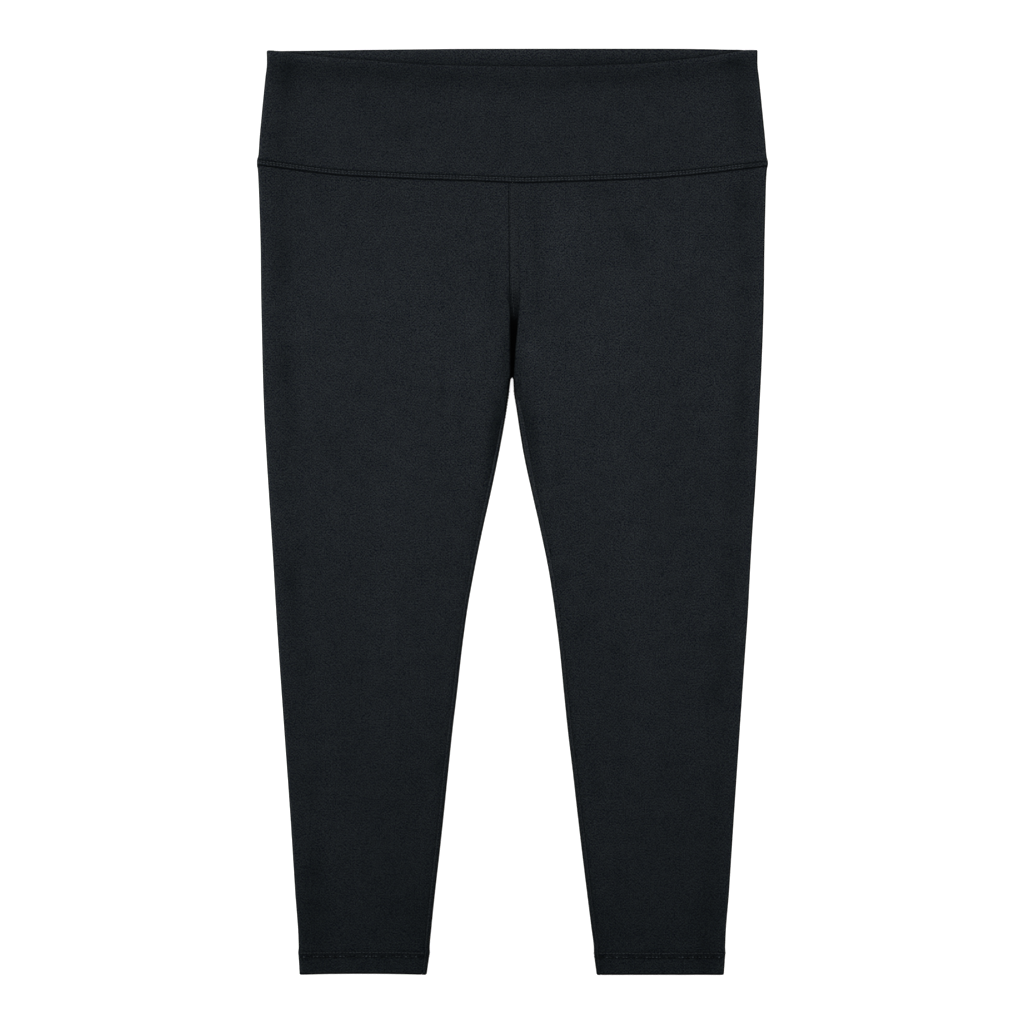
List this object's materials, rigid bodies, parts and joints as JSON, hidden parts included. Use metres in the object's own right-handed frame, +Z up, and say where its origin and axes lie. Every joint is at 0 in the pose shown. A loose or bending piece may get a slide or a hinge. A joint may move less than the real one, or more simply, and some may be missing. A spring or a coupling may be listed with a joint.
{
  "type": "leggings",
  "caption": "Black knit leggings with a deep waistband, laid flat front up; each leg is one wrapped panel closed by an inseam, with a turned and stitched hem.",
  "frame": {"origin": "on the surface the garment lies on, under the middle of its outline", "axes": "+Y towards the waist, +X towards the wearer's left, +Z up from the surface through the front of the garment"},
  "size_m": [0.5109, 0.925, 0.0063],
  "materials": {
    "leg_knit": "brushed heavy cotton-elastane knit, matt, near black with a cool cast",
    "band_knit": "the same brushed knit, doubled, matt",
    "thread": "black polyester sewing thread, slightly brighter than the knit"
  },
  "bodies": {
    "root": {"leg_right": "leg_knit", "leg_left": "leg_knit", "waistband_front": "band_knit", "waistband_back": "band_knit"}
  },
  "joints": []
}
